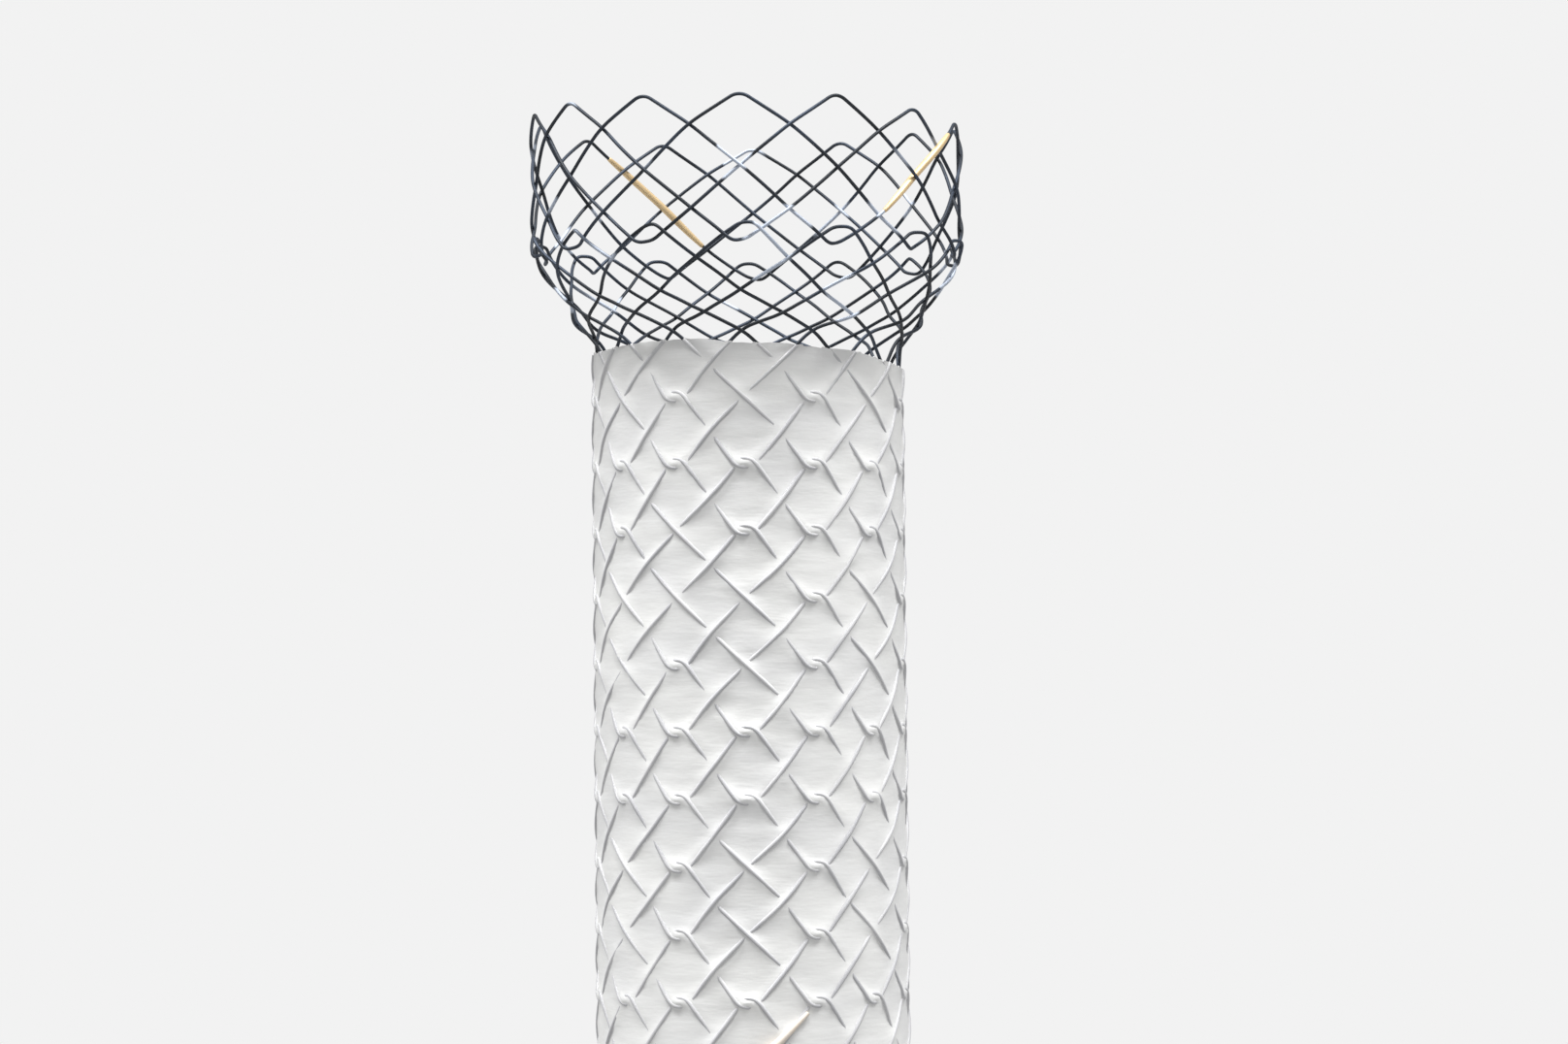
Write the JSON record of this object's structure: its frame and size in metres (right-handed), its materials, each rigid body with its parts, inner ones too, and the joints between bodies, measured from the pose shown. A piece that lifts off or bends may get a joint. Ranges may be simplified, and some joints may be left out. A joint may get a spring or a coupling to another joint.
{
  "type": "colonic stent",
  "caption": "Self-expanding woven wire tube with bare flared ends, a translucent film over its body and gold marker sleeves.",
  "frame": {"origin": "centre of the circle on which the lower crowns stand", "axes": "+Z along the stent from the lower to the upper flare, +X to the right with the first column of the weave facing -Y"},
  "size_m": [0.0278, 0.028, 0.12],
  "materials": {
    "film": "satin translucent silicone film",
    "wire": "dark oxide on drawn nickel titanium wire",
    "gold": "soft gold sheen"
  },
  "bodies": {
    "root": {"covered_body": "film", "upper_crown_wire_1": "wire", "upper_crown_wire_2": "wire", "lower_crown_wire_1": "wire", "lower_crown_wire_2": "wire", "upper_marker_1": "gold", "upper_marker_2": "gold", "middle_marker_1": "gold", "middle_marker_2": "gold", "lower_marker_1": "gold", "lower_marker_2": "gold"}
  },
  "joints": []
}
